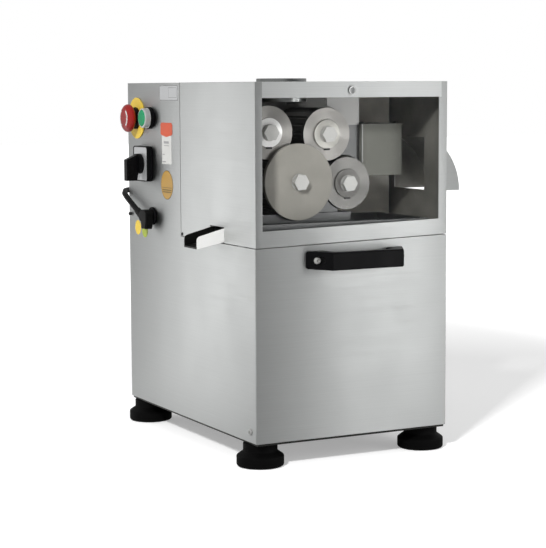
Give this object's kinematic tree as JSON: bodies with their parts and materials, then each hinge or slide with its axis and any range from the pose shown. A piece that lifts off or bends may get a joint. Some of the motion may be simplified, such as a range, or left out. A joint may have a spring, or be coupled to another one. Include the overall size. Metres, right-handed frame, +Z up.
{
  "type": "electric sugarcane juicer",
  "caption": "Box-shaped electric cane juicer: fluted rollers behind a window, feed collar on top, chute on the right, juice spout and controls on the left.",
  "frame": {"origin": "on the floor under the middle of the juicer's bounding box, cord left out", "axes": "+Z up, -Y towards the user at the window, +X towards the chute for the crushed cane"},
  "size_m": [0.3766, 0.5724, 0.4985],
  "materials": {
    "sheet_steel": "brushed",
    "dark_steel": "satin",
    "turned_steel": "turned",
    "bright_steel": "polished",
    "chrome_bezel": "polished",
    "black_plastic": "satin",
    "black_rubber": "matte",
    "black_cord": "matte",
    "clear_pane": "clear",
    "red_plastic": "gloss",
    "green_plastic": "gloss",
    "yellow_plastic": "satin",
    "grey_paint": "satin"
  },
  "bodies": {
    "cabinet": {"cabinet_shell": "sheet_steel", "back_panel": "sheet_steel", "base_pan": "dark_steel", "front_panel": "sheet_steel", "front_handle": "black_plastic", "foot_front_left": "black_rubber", "foot_front_right": "black_rubber", "foot_rear_left": "black_rubber", "foot_rear_right": "black_rubber", "bulkhead_plate": "dark_steel", "rear_frame_plate": "dark_steel", "front_bearing_central": "bright_steel", "front_bearing_top_left": "bright_steel", "front_bearing_top_right": "bright_steel", "front_bearing_lower_right": "bright_steel", "rear_bearing_central": "bright_steel", "rear_bearing_top_left": "bright_steel", "rear_bearing_top_right": "bright_steel", "rear_bearing_lower_right": "bright_steel", "gear_motor": "grey_paint", "gear_cover": "sheet_steel", "lock_keeper": "sheet_steel", "juice_tray": "sheet_steel", "juice_spout": "sheet_steel", "juice_strainer": "sheet_steel", "scraper_bar": "turned_steel", "discharge_duct": "sheet_steel", "guide_plate": "sheet_steel", "estop_base": "yellow_plastic", "start_button_base": "chrome_bezel", "cam_switch_body": "black_plastic", "power_inlet": "black_plastic", "cord_connector": "black_plastic", "mains_lead": "black_cord", "mains_lead_coil": "black_cord", "mains_plug": "black_cord", "wiring_loom": "black_cord"},
    "hood": {"hood_shell": "sheet_steel", "window_pane": "clear_pane", "feed_collar": "bright_steel", "bagasse_chute": "sheet_steel"},
    "hood_lock": {"lock_cam": "bright_steel"},
    "central_roller": {"roller_central": "turned_steel", "shaft_central": "turned_steel", "bolt_central": "bright_steel", "central_flange": "turned_steel", "bull_gear": "dark_steel"},
    "top_left_roller": {"roller_top_left": "turned_steel", "shaft_top_left": "turned_steel", "bolt_top_left": "bright_steel"},
    "top_right_roller": {"roller_top_right": "turned_steel", "shaft_top_right": "turned_steel", "bolt_top_right": "bright_steel"},
    "lower_right_roller": {"roller_lower_right": "turned_steel", "shaft_lower_right": "turned_steel", "bolt_lower_right": "bright_steel"},
    "motor_output": {"drive_pinion": "dark_steel"},
    "stop_mushroom": {"estop_button": "red_plastic"},
    "start_cap": {"start_button": "green_plastic"},
    "switch_grip": {"cam_switch_knob": "black_plastic"}
  },
  "joints": [
    {"name": "hood_lift", "type": "slide", "parent": "cabinet", "child": "hood", "axis": [0, 0, 1], "range_m": [0, 0.22]},
    {"name": "lock_turn", "type": "hinge", "parent": "hood", "child": "hood_lock", "pos_m": [-0.00975, -0.19, 0.4826], "axis": [0, 1, 0], "range_deg": [0, 180]},
    {"name": "central_spin", "type": "hinge", "parent": "cabinet", "child": "central_roller", "pos_m": [-0.06475, -0.09, 0.3645], "axis": [0, 1, 0], "continuous": true},
    {"name": "top_left_spin", "type": "hinge", "parent": "cabinet", "child": "top_left_roller", "pos_m": [-0.10502, -0.09, 0.42895], "axis": [0, 1, 0], "continuous": true},
    {"name": "top_right_spin", "type": "hinge", "parent": "cabinet", "child": "top_right_roller", "pos_m": [-0.01954, -0.09, 0.42559], "axis": [0, 1, 0], "continuous": true},
    {"name": "lower_right_spin", "type": "hinge", "parent": "cabinet", "child": "lower_right_roller", "pos_m": [0.01115, -0.09, 0.36052], "axis": [0, 1, 0], "continuous": true},
    {"name": "pinion_spin", "type": "hinge", "parent": "cabinet", "child": "motor_output", "pos_m": [-0.0069, 0.03, 0.29556], "axis": [0, 1, 0], "continuous": true},
    {"name": "estop_push", "type": "slide", "parent": "cabinet", "child": "stop_mushroom", "axis": [1, 0, 0], "range_m": [0, 0.004], "stiffness_N_per_m": 2000},
    {"name": "start_push", "type": "slide", "parent": "cabinet", "child": "start_cap", "axis": [1, 0, 0], "range_m": [0, 0.003], "stiffness_N_per_m": 1200},
    {"name": "cam_turn", "type": "hinge", "parent": "cabinet", "child": "switch_grip", "pos_m": [-0.15125, 0.1561, 0.3796], "axis": [1, 0, 0], "range_deg": [-60, 60]}
  ],
  "couplings": [
    {"joint": "top_left_spin", "follows": "central_spin", "ratio": -1},
    {"joint": "top_right_spin", "follows": "central_spin", "ratio": -1},
    {"joint": "lower_right_spin", "follows": "central_spin", "ratio": -1},
    {"joint": "pinion_spin", "follows": "central_spin", "ratio": -3.2857}
  ]
}
